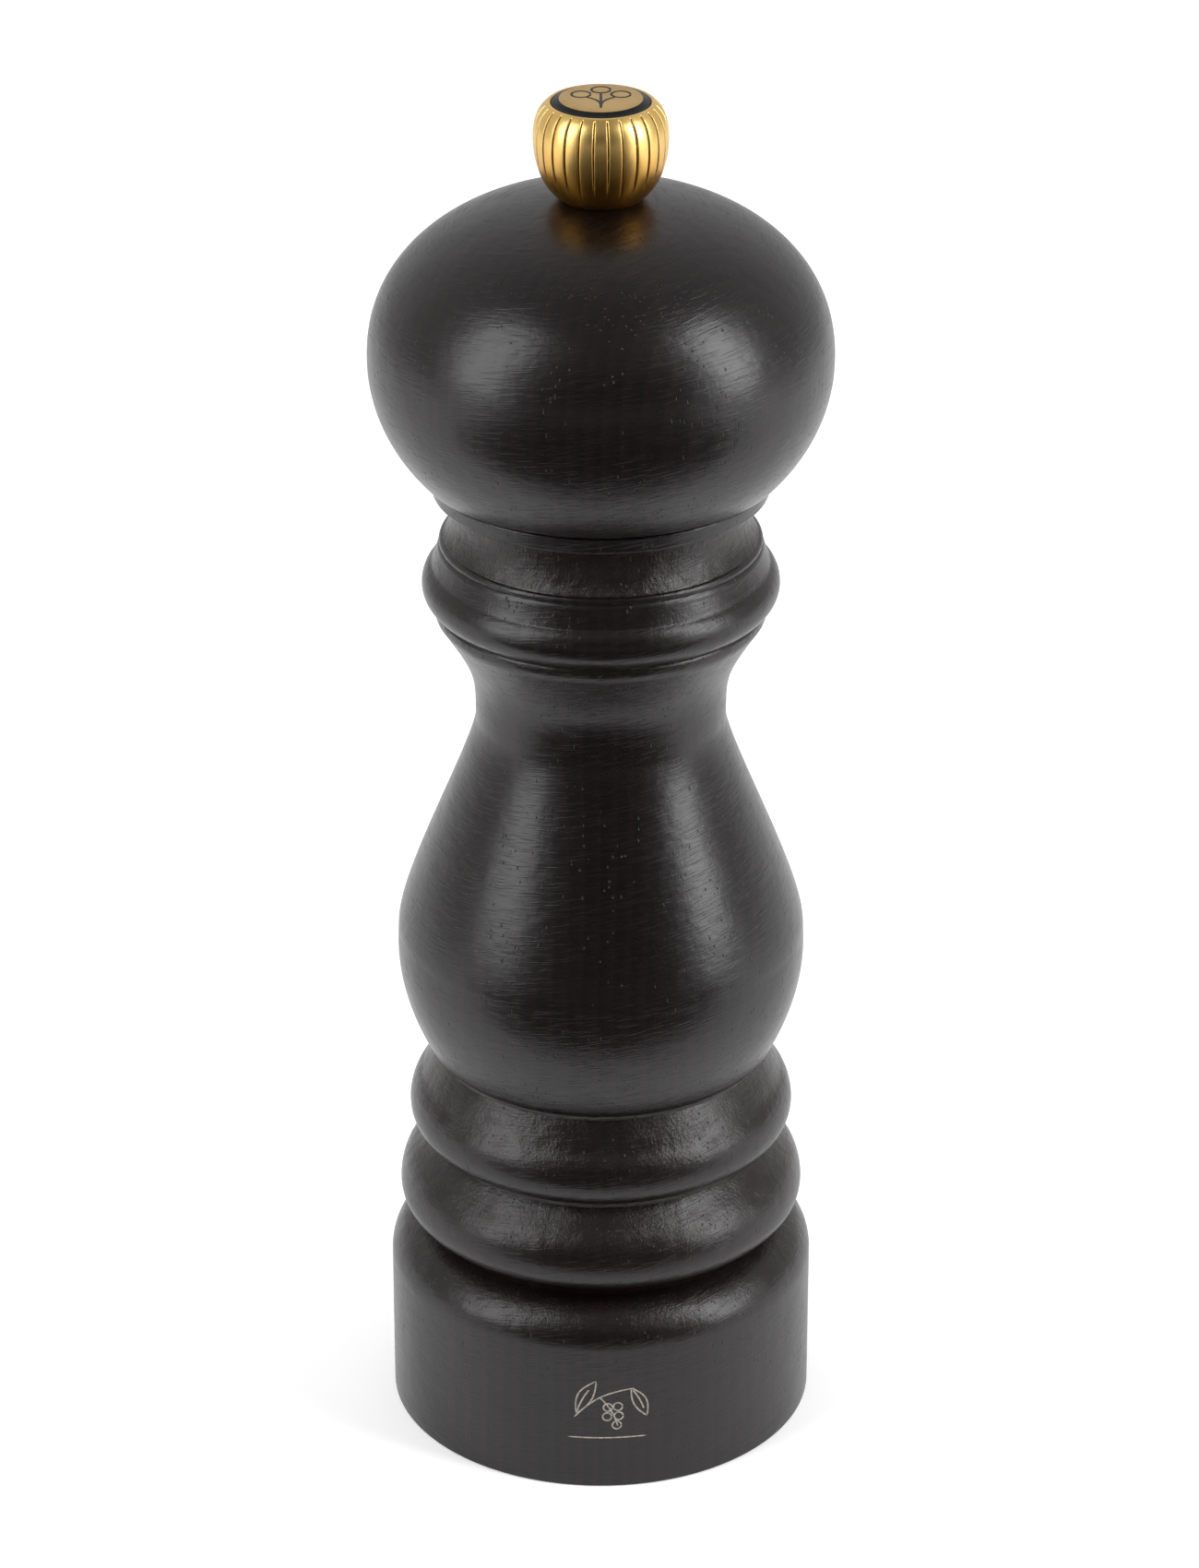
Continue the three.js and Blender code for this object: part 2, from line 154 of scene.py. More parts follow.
class Graph:
    """The node tree of one material or world."""

    def __init__(self, name: str, store: object = None) -> None:
        """Starts an empty tree.

        Args:
            name: the name of what it dresses.
            store: where that is kept: bpy.data.materials if not given, or bpy.data.worlds.
        """
        self.material = (bpy.data.materials if store is None else store).new(name)
        self.material.use_nodes = True
        self.tree = self.material.node_tree
        self.tree.nodes.clear()

    def add(
        self,
        kind: str,
        settings: Mapping[str, object] | None = None,
        inputs: Mapping[int | str, object] | None = None,
        output: int | str = 0,
    ) -> Value:
        """Adds a node.

        Args:
            kind: the node's type name.
            settings: the node's own properties, set before its sockets.
            inputs: socket index or name to a number, a tuple, or a Value to link.
            output: which output to return.

        Returns:
            The chosen output, ready for arithmetic.
        """
        node = self.tree.nodes.new(kind)
        for key, setting in (settings or {}).items():
            setattr(node, key, setting)
        for key, value in (inputs or {}).items():
            if isinstance(value, Value):
                self.tree.links.new(value.socket, node.inputs[key])
            else:
                node.inputs[key].default_value = value
        return Value(self, node.outputs[output])

    def place(self) -> Value:
        """Object coordinates, in metres."""
        return self.add("ShaderNodeTexCoord", output="Object")

    def attribute(self, name: str) -> Value:
        """A number stored on the mesh's points."""
        return self.add("ShaderNodeAttribute", {"attribute_name": name}, output="Fac")

    def stretch(self, vector: Value, scale: Sequence[float], move: Sequence[float] = (0, 0, 0)) -> Value:
        """A vector scaled and moved along each axis."""
        return self.add("ShaderNodeMapping", {}, {0: vector, 1: tuple(move), 3: tuple(scale)})

    def noise(self, vector: Value, detail: float = 2.0, roughness: float = 0.5) -> Value:
        """Soft noise whose cells are one unit of the vector across."""
        inputs = {"Vector": vector, "Scale": 1.0, "Detail": detail, "Roughness": roughness}
        return self.add("ShaderNodeTexNoise", {}, inputs)

    def cells(self, vector: Value) -> tuple[Value, Value]:
        """Scattered points, one in each unit cell.

        Args:
            vector: where the cells lie.

        Returns:
            The distance to the nearest point, and a random number that is the same all over its cell.
        """
        distance = self.add("ShaderNodeTexVoronoi", {}, {"Vector": vector, "Scale": 1.0}, "Distance")
        return distance, self.add("ShaderNodeSeparateColor", {}, {0: distance.sibling("Color")}, 0)

    def blend(self, amount: Operand, first: "Value | Colour", second: "Value | Colour") -> Value:
        """Mixes two colours: the first where the amount is 0, the second where it is 1."""
        sides = {6: _opaque(first), 7: _opaque(second)}
        return self.add("ShaderNodeMix", {"data_type": "RGBA"}, {0: amount, **sides}, 2)

    def bump(self, height: Value, depth_mm: float, under: Value | None = None) -> Value:
        """Bumps the surface.

        Args:
            height: relief between 0 and 1.
            depth_mm: how high the relief stands where it is 1.
            under: the bump that this one lies on.

        Returns:
            The bent normal.
        """
        inputs = {"Height": height, "Strength": 1.0, "Distance": depth_mm * MM}
        if under is not None:
            inputs["Normal"] = under
        return self.add("ShaderNodeBump", {}, inputs)

    def finish(self, **sockets: object) -> bpy.types.Material:
        """Ends the graph.

        Args:
            **sockets: the surface's sockets by name, with _ for a space.

        Returns:
            The finished material.
        """
        inputs = {key.replace("_", " "): value for key, value in sockets.items()}
        self.end("ShaderNodeOutputMaterial", self.add("ShaderNodeBsdfPrincipled", {}, inputs))
        return self.material

    def end(self, kind: str, surface: Value) -> None:
        """Links a surface, or a world's background, to the output node that the tree ends in."""
        out = self.tree.nodes.new(kind)
        self.tree.links.new(surface.socket, out.inputs["Surface"])


def _opaque(colour: "Value | Colour") -> "Value | tuple[float, float, float, float]":
    """Gives a plain colour its alpha."""
    return colour if isinstance(colour, Value) else (*colour, 1.0)


# ---------------------------------------------------------------------------------------- finishes


@dataclass(frozen=True)
class StainedWood:
    """Beech stained brown-black under a thin satin lacquer, with its grain along the turning axis."""

    name: str
    pith: tuple[float, float] = (31.0, 22.0)
    shift: float = 0.0
    dark: Colour = (0.0025, 0.0014, 0.0015)
    warm: Colour = (0.0076, 0.0037, 0.0034)
    brown: Colour = (0.0105, 0.0052, 0.0034)
    torn: Colour = (0.0210, 0.0150, 0.0105)

    def make(self) -> bpy.types.Material:
        """Builds the finish.

        Growth rings are rings round the pith, bent by slow noise. Pores are long thin cells along the
        grain. Where the turning tool cut across the grain, the mesh's torn value roughens the surface.

        Returns:
            The material.
        """
        g = Graph(self.name)
        p = g.stretch(g.place(), (1, 1, 1), (0, 0, self.shift * MM))
        torn = g.attribute("torn")
        rings = self._rings(g, p)
        fibre = g.noise(g.stretch(p, (2300, 2300, 260)), detail=3.0, roughness=0.6)
        cloud = g.noise(g.stretch(p, (45, 45, 22)), detail=2.0)
        cluster = g.noise(g.stretch(p, (210, 210, 60)), detail=1.0).step(0.42, 0.62)
        pores = self._pores(g, p, cluster)
        ragged = g.noise(g.stretch(p, (2700, 2700, 1300)), detail=3.0, roughness=0.7)
        chatter = g.noise(g.stretch(p, (420, 420, 2600)), detail=2.0)
        patch = g.noise(g.stretch(p, (330, 330, 260)), detail=3.0).step(0.3, 0.75)
        tear = torn * (0.35 + patch * 0.65)

        tone = rings * 0.45 + fibre.step(0.35, 0.7) * 0.25 + cloud.step(0.3, 0.7) * 0.3
        wood = g.blend(tone, self.dark, self.warm)
        wood = g.blend(torn * 0.4, wood, self.brown)
        wood = g.blend(tear * ragged.step(0.55, 0.7), wood, self.torn)
        wood = g.blend(pores * 0.8, wood, (0.0015, 0.001, 0.001))

        lathe = self._lathe_marks(g, p)
        roughness = 0.33 + tear * 0.06 + (cloud - 0.5) * 0.08 + (lathe - 0.5) * 0.12 + pores * 0.2
        wavy = g.noise(g.stretch(p, (230, 230, 300)), detail=2.0, roughness=0.55)
        normal = g.bump(wavy, 0.085)
        normal = g.bump(g.noise(g.stretch(p, (600, 600, 1300)), detail=2.0), 0.018, normal)
        normal = g.bump(lathe, 0.026, normal)
        normal = g.bump(fibre, 0.010, normal)
        normal = g.bump(1 - pores, 0.03, normal)
        normal = g.bump(chatter * tear, 0.035, normal)
        normal = g.bump(ragged * tear, 0.13, normal)
        return g.finish(Base_Color=wood, Roughness=roughness, Normal=normal, IOR=1.46)

    def _rings(self, g: Graph, p: Value) -> Value:
        """Growth rings, 0 in early wood and 1 in late wood: a saw-tooth of the distance to the pith."""
        bend = g.noise(g.stretch(p, (38, 38, 9)), detail=1.0)
        flat = g.add("ShaderNodeVectorMath", {"operation": "MULTIPLY_ADD"},
                     {0: p, 1: (1.0, 1.0, 0.0), 2: (self.pith[0] * MM, self.pith[1] * MM, 0.0)})
        reach = g.add("ShaderNodeVectorMath", {"operation": "LENGTH"}, {0: flat}, "Value")
        turns = reach * (1 / (2.1 * MM)) + bend * 2.4
        saw = g.add("ShaderNodeMath", {"operation": "FRACT"}, {0: turns})
        return saw.step(0.2, 0.95) * saw.step(1.0, 0.93)

    def _pores(self, g: Graph, p: Value, cluster: Value) -> Value:
        """Open pores: the hearts of long cells, kept in most cells of a cluster and few elsewhere."""
        distance, luck = g.cells(g.stretch(p, (1900, 1900, 620)))
        odds = luck + cluster * 0.42
        fine = distance.step(0.24, 0.12) * odds.step(0.95, 0.99)
        distance, luck = g.cells(g.stretch(p, (900, 900, 330), (3, 1, 7)))
        odds = luck + cluster * 0.3
        return fine.highest(distance.step(0.15, 0.08) * odds.step(0.93, 0.97))

    def _lathe_marks(self, g: Graph, p: Value) -> Value:
        """Fine scratches round the axis: noise that is long across the grain and very short along it."""
        level = g.noise(g.stretch(p, (130, 130, 3600)), detail=2.0, roughness=0.7)
        slant = g.add("ShaderNodeVectorRotate", {"rotation_type": "Y_AXIS"}, {"Vector": p, "Angle": 0.16})
        crossed = g.noise(g.stretch(slant, (300, 300, 5200)), detail=1.0)
        return level * 0.55 + crossed.step(0.52, 0.72) * 0.45


@dataclass(frozen=True)
class BareWood:
    """Unlacquered beech inside the bores, with some stain run into it."""

    name: str = "bare_beech"

    def make(self) -> bpy.types.Material:
        """Builds the finish from long fibres and faint drill marks."""
        g = Graph(self.name)
        p = g.place()
        fibre = g.noise(g.stretch(p, (1800, 1800, 150)), detail=4.0, roughness=0.6)
        marks = g.noise(g.stretch(p, (30, 30, 3000)), detail=1.0)
        cloud = g.noise(g.stretch(p, (70, 70, 40)), detail=2.0)
        wood = g.blend(fibre.step(0.3, 0.7), (0.20, 0.115, 0.062), (0.34, 0.215, 0.125))
        wood = g.blend(cloud.step(0.5, 0.75) * 0.5, wood, (0.09, 0.05, 0.03))
        normal = g.bump(fibre * 0.6 + marks * 0.6, 0.06)
        return g.finish(Base_Color=wood, Roughness=0.72 + (fibre - 0.5) * 0.1, Normal=normal)


@dataclass(frozen=True)
class Brass:
    """Satin brass, lightly brushed round the axis, darker in its flutes, with a painted reflection of the
    dark wood: darker, browner colour low on the knob.
    """

    name: str = "satin_brass"
    bright: Colour = (0.84, 0.58, 0.20)
    deep: Colour = (0.74, 0.44, 0.11)
    # painted reflection: the darker, browner colour of the dark wood mirrored in the knob's lower part
    under: Colour = (0.50, 0.24, 0.035)
    tarnish: Colour = (0.13, 0.07, 0.015)

    def make(self) -> bpy.types.Material:
        """Builds the finish: the mesh's sunk value says how deep in a flute a point lies."""
        g = Graph(self.name)
        p = g.place()
        sunk = g.attribute("sunk")
        brushed = g.noise(g.stretch(p, (700, 700, 9000)), detail=3.0, roughness=0.7)
        grime = g.noise(g.stretch(p, (2200, 2200, 1400)), detail=3.0)
        cloud = g.noise(g.stretch(p, (260, 260, 260)), detail=2.0)
        metal = g.blend(cloud.step(0.3, 0.75) * 0.45, self.bright, self.deep)
        height = g.add("ShaderNodeSeparateXYZ", {}, {0: p}, "Z")
        # painted reflection: from 177.5 mm down to 170 mm the brass fades into the darker, browner colour
        metal = g.blend(height.step(0.1775, 0.1700), metal, self.under)
        metal = g.blend(sunk * grime.step(0.2, 0.55) * 0.9, metal, self.tarnish)
        roughness = 0.34 + sunk * 0.15 + (brushed - 0.5) * 0.10
        normal = g.bump(brushed, 0.004)
        return g.finish(Base_Color=metal, Metallic=1.0, Roughness=roughness, Normal=normal)


@dataclass(frozen=True)
class Metal:
    """Turned or stamped metal with fine scratches and slow colour change."""

    name: str
    colour: Colour
    worn: Colour
    roughness: float
    scratch: tuple[float, float, float] = (900, 900, 5000)
    relief_mm: float = 0.008

    def make(self) -> bpy.types.Material:
        """Builds the finish from stretched noise."""
        g = Graph(self.name)
        p = g.place()
        line = g.noise(g.stretch(p, self.scratch), detail=3.0, roughness=0.7)
        cloud = g.noise(g.stretch(p, (220, 220, 220)), detail=3.0)
        metal = g.blend(cloud.step(0.35, 0.7), self.colour, self.worn)
        roughness = self.roughness + (line - 0.5) * 0.18 + (cloud - 0.5) * 0.12
        return g.finish(Base_Color=metal, Metallic=1.0, Roughness=roughness,
                        Normal=g.bump(line, self.relief_mm))


@dataclass(frozen=True)
class Coating:
    """Ink, enamel or plastic: a plain colour with a little mottling."""

    name: str
    colour: Colour
    mottled: Colour
    roughness: float
    grain: float = 1500.0
    relief_mm: float = 0.004
    shine: float = 0.5

    def make(self) -> bpy.types.Material:
        """Builds the finish from fine noise."""
        g = Graph(self.name)
        speck = g.noise(g.stretch(g.place(), (self.grain,) * 3), detail=3.0, roughness=0.6)
        tint = g.blend(speck.step(0.35, 0.7), self.colour, self.mottled)
        return g.finish(Base_Color=tint, Roughness=self.roughness + (speck - 0.5) * 0.1,
                        Specular_IOR_Level=self.shine, Normal=g.bump(speck, self.relief_mm))


# ----------------------------------------------------------------------------------------- surfaces


class Outline:
    """A turned outline in millimetres, drawn stretch by stretch: up the outside, down the inside."""

    def __init__(self, r: float, z: float) -> None:
        """Starts the outline at a radius and a height."""
        self.points: list[tuple[float, float]] = [(r, z)]
        self.torn: list[float] = [0.0]
        self.inner: list[bool] = [False]
        self.is_inner = False

    def _extend(self, points: Sequence[tuple[float, float]], torn: Sequence[float]) -> "Outline":
        """Adds points with how torn the wood is at each. A first point that is already there is skipped."""
        if np.hypot(*(np.array(points[0]) - self.points[-1])) < 1e-4:
            points, torn = points[1:], torn[1:]
        self.points += [(float(r), float(z)) for r, z in points]
        self.torn += [float(t) for t in torn]
        self.inner += [self.is_inner] * len(points)
        return self

    def add_points(self, points: Sequence[tuple[float, float]]) -> "Outline":
        """Adds points worked out elsewhere."""
        return self._extend(points, np.zeros(len(points)))

    def line(self, r: float, z: float, steps: int = 1, torn: float = 0.0) -> "Outline":
        """Goes straight to a point."""
        start = np.array(self.points[-1])
        share = np.linspace(0, 1, steps + 1)[1:, None]
        return self._extend(start + (np.array((r, z)) - start) * share, [torn] * steps)

    def arc(self, r: float, z: float, across: float, along: float, angles: tuple[float, float],
            steps: int, torn: tuple[float, float] = (0.0, 0.0)) -> "Outline":
        """Follows part of an ellipse about (r, z), between two angles in degrees."""
        t = np.radians(np.linspace(*angles, steps + 1))
        points = np.stack([r + across * np.cos(t), z + along * np.sin(t)], axis=1)
        return self._extend(points, np.linspace(*torn, steps + 1))

    def curve(self, handle_a: tuple[float, float], handle_b: tuple[float, float],
              end: tuple[float, float], steps: int, torn: tuple[float, float] = (0.0, 0.0)) -> "Outline":
        """Follows a cubic curve with two handles to its end."""
        t = np.linspace(0, 1, steps + 1)[1:, None]
        a, b, c, d = (np.array(q, float) for q in (self.points[-1], handle_a, handle_b, end))
        points = (1 - t) ** 3 * a + 3 * (1 - t) ** 2 * t * b + 3 * (1 - t) * t ** 2 * c + t ** 3 * d
        return self._extend(points, np.linspace(*torn, steps + 1)[1:])

    def inside(self) -> "Outline":
        """Says that what follows is a bore or a hidden face."""
        self.is_inner = True
        return self


def turn_grid(radius: Array, height: Array, columns: int) -> Array:
    """Turns an outline round the axis.

    The point at row i and column j is (r_i cos a_j, r_i sin a_j, z_i), with a_j evenly spaced.

    Args:
        radius: radii in millimetres, one a row or one a row and column.
        height: heights in millimetres, shaped as radius.
        columns: how many columns go round.

    Returns:
        Points in metres, shaped (rows, columns, 3).
    """
    angle = np.arange(columns) * FULL_TURN / columns
    radius = radius if radius.ndim == 2 else radius[:, None]
    height = height if height.ndim == 2 else height[:, None]
    grid = np.stack(np.broadcast_arrays(radius * np.cos(angle), radius * np.sin(angle), height), axis=-1)
    return grid * MM


def add_object(name: str, data: bpy.types.ID) -> bpy.types.Object:
    """Makes an object of a mesh, a lamp or a camera, and puts it in the scene."""
    thing = bpy.data.objects.new(name, data)
    bpy.context.scene.collection.objects.link(thing)
    return thing


def surface(name: str, grid: Array, materials: Sequence[bpy.types.Material], *, close_rows: bool,
            fields: Mapping[str, Array] | None = None, rows_of: Array | None = None,
            crease: float = 32.0) -> bpy.types.Object:
    """Makes a mesh object from a grid of points whose columns close on themselves.

    Args:
        name: the piece's name.
        grid: points shaped (rows, columns, 3), in metres.
        materials: the piece's finishes.
        close_rows: whether the last row joins the first; if not, each end row is a pole or a cap.
        fields: point values by name, each shaped (rows, columns).
        rows_of: the finish number of the faces that start at each row.
        crease: edges bent by more than this many degrees stay sharp.

    Returns:
        The object, at the origin.
    """
    rows, columns = grid.shape[:2]
    index = np.arange(rows * columns).reshape(rows, columns)
    low = index if close_rows else index[:-1]
    high = np.roll(index, -1, axis=0) if close_rows else index[1:]
    quads = np.stack([low, np.roll(low, -1, 1), np.roll(high, -1, 1), high], axis=-1).reshape(-1, 4)
    mesh = bpy.data.meshes.new(name)
    mesh.from_pydata(grid.reshape(-1, 3), [], quads)
    for material in materials:
        mesh.materials.append(material)
    if rows_of is not None:
        mesh.polygons.foreach_set("material_index", np.repeat(rows_of[:len(low)], columns).astype(np.int32))
    for key, values in (fields or {}).items():
        layer = mesh.attributes.new(key, "FLOAT", "POINT")
        layer.data.foreach_set("value", np.ascontiguousarray(values, dtype=np.float32).ravel())
    if not close_rows:
        _weld_poles(mesh)
    mesh.polygons.foreach_set("use_smooth", np.ones(len(mesh.polygons), dtype=bool))
    mesh.set_sharp_from_angle(angle=math.radians(crease))
    mesh.update()
    return add_object(name, mesh)


def _weld_poles(mesh: bpy.types.Mesh) -> None:
    """Merges the points of end rows that have shrunk to one place, and drops faces with no area."""
    work = bmesh.new()
    work.from_mesh(mesh)
    bmesh.ops.remove_doubles(work, verts=work.verts, dist=1e-8)
    bmesh.ops.dissolve_degenerate(work, edges=work.edges, dist=1e-9)
    work.to_mesh(mesh)
    work.free()


def turned_piece(name: str, outline: Outline, materials: Sequence[bpy.types.Material], columns: int,
                 crease: float = 32.0) -> bpy.types.Object:
    """Turns an outline into a piece; one that starts and ends on the axis gets poles there."""
    points = np.array(outline.points)
    on_axis = points[0, 0] == 0 and points[-1, 0] == 0
    torn = np.broadcast_to(np.array(outline.torn)[:, None], (len(points), columns))
    radius = points[:, :1] + torn * TORN_MM * ripple(points[:, 1], columns, seed=len(points))
    height = np.broadcast_to(points[:, 1:], radius.shape)
    return surface(name, turn_grid(radius, height, columns), materials, close_rows=not on_axis,
                   fields={"torn": torn}, rows_of=np.array(outline.inner, int), crease=crease)


def ripple(height: Array, columns: int, seed: int) -> Array:
    """Uneven relief round a turned piece: a sum of waves, each a sine of m x angle + k x height + phase.

    Args:
        height: the rows' heights in millimetres.
        columns: how many columns go round.
        seed: fixes the waves.

    Returns:
        Relief between about -1 and 1, shaped (rows, columns).
    """
    dice = np.random.default_rng(seed)
    angle = np.arange(columns) * FULL_TURN / columns
    rounds = dice.integers(9, 95, 36)[:, None, None]
    climb = dice.uniform(-5, 5, 36)[:, None, None]
    phase = dice.uniform(0, FULL_TURN, 36)[:, None, None]
    return np.sin(rounds * angle + climb * height[:, None] + phase).sum(0) / 9


def settle(piece: bpy.types.Object, body: Body, slot: Slot, *nodes: str) -> bpy.types.Object:
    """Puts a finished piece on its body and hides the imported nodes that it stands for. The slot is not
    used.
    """
    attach(piece, body.value)
    if nodes:
        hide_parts(*nodes)
    log.info("%s: %d faces on %s", piece.name, len(piece.data.polygons), body.value)
    return piece


# ------------------------------------------------------------------------------------ wooden pieces


@dataclass(frozen=True)
class Ring:
    """The widest or narrowest place of a turned outline, in millimetres."""

    r: float
    z: float


@dataclass(frozen=True)
class Bead:
    """A round moulding: its widest point, and the radii of its quarters below and above."""

    r: float
    z: float
    under: float
    over: float

    def draw(self, outline: Outline, low: float, high: float, torn: float) -> None:
        """Adds the bead to an outline, from low degrees under its widest point to high degrees over it."""
        outline.arc(self.r - self.under, self.z, self.under, self.under, (-low, 0), 12)
        outline.arc(self.r - self.over, self.z, self.over, self.over, (0, high), 12, (0.0, torn))


@dataclass
class WoodenBody:
    """The turned lower part, with its hopper bore, the recess in its foot and the socket on top."""

    columns: int = 300
    foot_r: float = 27.6
    foot_wall: float = 20.3
    foot_shoulder: float = 5.5
    foot_edge: float = 0.25
    groove_3: Ring = Ring(22.3, 25.9)
    bead_2: Bead = Bead(26.3, 31.2, 3.55, 6.9)
    groove_2: Ring = Ring(21.9, 38.7)
    bead_1: Bead = Bead(24.9, 43.0, 3.7, 5.8)
    groove_1: Ring = Ring(21.2, 51.0)
    pear_foot: Ring = Ring(22.3, 52.3)
    belly: Ring = Ring(26.04, 68.7)
    neck: Ring = Ring(15.83, 98.5)
    step: Ring = Ring(20.7, 112.3)
    collar: Bead = Bead(22.4, 116.7, 3.0, 3.2)
    arris: Ring = Ring(19.6, 122.9)
    top: Ring = Ring(18.5, 128.9)
    recess: Ring = Ring(20.5, 22.0)
    hopper_r: float = 12.0
    socket: Ring = Ring(14.4, 116.0)

    def outline(self) -> Outline:
        """The whole outline: up the outside from the foot, then down the socket, hopper and recess."""
        line = Outline(self.foot_r - self.foot_edge, 0.0)
        line.arc(self.foot_r - self.foot_edge, self.foot_edge, self.foot_edge, self.foot_edge, (-90, 0), 5)
        line.line(self.foot_r, self.foot_wall, 12)
        centre = self.foot_r - self.foot_shoulder
        line.arc(centre, self.foot_wall, self.foot_shoulder, self.foot_shoulder, (0, 76), 18, (0.0, 1.0))
        line.line(self.groove_3.r, self.groove_3.z - 0.1, 2, 0.6)
        self.bead_2.draw(line, 78, 42, 0.9)
        line.line(self.groove_2.r, self.groove_2.z - 0.1, 5, 0.9)
        self.bead_1.draw(line, 78, 42, 0.9)
        line.line(self.groove_1.r, self.groove_1.z, 6, 0.8)
        line.line(self.groove_1.r + 0.1, self.groove_1.z + 0.5, 2, 0.2)
        line.line(self.pear_foot.r, self.pear_foot.z, 3)
        line.curve((27.0, 61.2), (self.belly.r, 66.8), (self.belly.r, self.belly.z), 34)
        line.curve((self.belly.r, 74.4), (self.neck.r, 94.3), (self.neck.r, self.neck.z), 46)
        line.curve((self.neck.r, 103.8), (15.8, 105.2), (self.step.r - 0.1, self.step.z), 30, (0.0, 0.35))
        for rise, sunk in ((0.18, 0.10), (0.36, 0.0), (1.2, 0.0), (1.42, 0.14)):
            line.line(self.step.r + 0.05 - sunk, self.step.z + rise, 1, 0.3)
        self.collar.draw(line, 62, 52, 0.5)
        line.curve((21.0, 119.6), (20.6, 120.7), (20.3, self.arris.z - 1.0), 8, (0.5, 0.2))
        line.arc(self.arris.r, self.arris.z - 0.45, 0.6, 0.6, (-35, 80), 8, (0.0, 0.4))
        line.curve((18.7, 124.2), (18.2, 126.2), (self.top.r, self.top.z - 0.3), 18, (1.0, 0.8))
        line.line(self.top.r - 0.3, self.top.z, 2, 0.5)
        line.inside()
        line.line(self.socket.r + 0.4, self.top.z, 2)
        line.line(self.socket.r, self.top.z - 0.4, 2)
        line.line(self.socket.r, self.socket.z, 3)
        line.line(self.hopper_r, self.socket.z, 2)
        line.line(self.hopper_r, self.recess.z, 8)
        line.line(self.recess.r, self.recess.z, 3)
        line.line(self.recess.r, 0.4, 3)
        line.line(self.recess.r + 0.4, 0.0, 1)
        return line

    def build(self) -> None:
        """Turns the body and dresses it in stained wood outside and bare wood inside."""
        finishes = [StainedWood("stained_beech_body").make(), BareWood().make()]
        piece = turned_piece("turned_body", self.outline(), finishes, self.columns)
        settle(piece, Body.MILL, Slot.WOOD, "body")


@dataclass
class WoodenHead:
    """The ball that the hand turns, with its flange and the tenon that plugs into the body."""

    columns: int = 300
    bottom: float = 129.2
    flange_r: float = 21.0
    flange_top: float = 131.6
    ball_r: float = 28.7
    ball_z: float = 146.8
    ball_foot_r: float = 22.5
    below: float = 23.6
    above: float = 20.75
    fullness: float = 2.19
    crown_r: float = 4.8
    seat: float = 166.9
    tenon_r: float = 14.0
    tenon_bottom: float = 120.0
    bore_r: float = 3.9

    def outline(self) -> Outline:
        """The outline: out along the tenon, up the flange and the ball, and down the bore.

        Below its widest place the ball is an ellipse. Above it, radius and height are powers of the
        cosine and the sine, which gives a fuller shoulder than an ellipse has.
        """
        line = Outline(self.bore_r, self.tenon_bottom)
        line.inside()
        line.inner[0] = True
        line.line(self.tenon_r - 0.5, self.tenon_bottom, 3)
        line.line(self.tenon_r, self.tenon_bottom + 0.5, 1)
        line.line(self.tenon_r, self.bottom, 4)
        line.is_inner = False
        line.line(self.flange_r - 0.45, self.bottom, 3, 0.3)
        line.arc(self.flange_r - 0.45, self.bottom + 0.45, 0.45, 0.45, (-90, 0), 6)
        line.line(self.flange_r + 0.3, self.flange_top - 0.45, 4)
        line.arc(self.flange_r + 0.05, self.flange_top - 0.4, 0.3, 0.3, (0, 100), 6)
        line.line(self.flange_r - 0.5, self.flange_top - 0.02, 1)
        line.line(self.flange_r - 0.3, self.flange_top + 0.4, 1)
        lowest = math.degrees(math.acos(self.ball_foot_r / self.ball_r))
        line.arc(0, self.ball_z, self.ball_r, self.below, (-lowest, 0), 44)
        power = 2 / self.fullness
        t = np.linspace(0, math.acos((self.crown_r / self.ball_r) ** (1 / power)), 70)[1:]
        radius, rise = self.ball_r * np.cos(t) ** power, self.above * np.sin(t) ** power
        line.add_points(np.stack([radius, self.ball_z + rise], axis=1))
        line.inside()
        line.line(self.crown_r - 0.15, self.seat, 1)
        line.line(self.bore_r, self.seat, 1)
        return line

    def build(self) -> None:
        """Turns the head from its own length of wood."""
        wood = StainedWood("stained_beech_head", pith=(-26.0, 34.0), shift=210.0)
        finishes = [wood.make(), BareWood("bare_beech_head").make()]
        piece = turned_piece("turned_head", self.outline(), finishes, self.columns)
        settle(piece, Body.HEAD, Slot.WOOD, "head")


# --------------------------------------------------------------------------------------------- knob


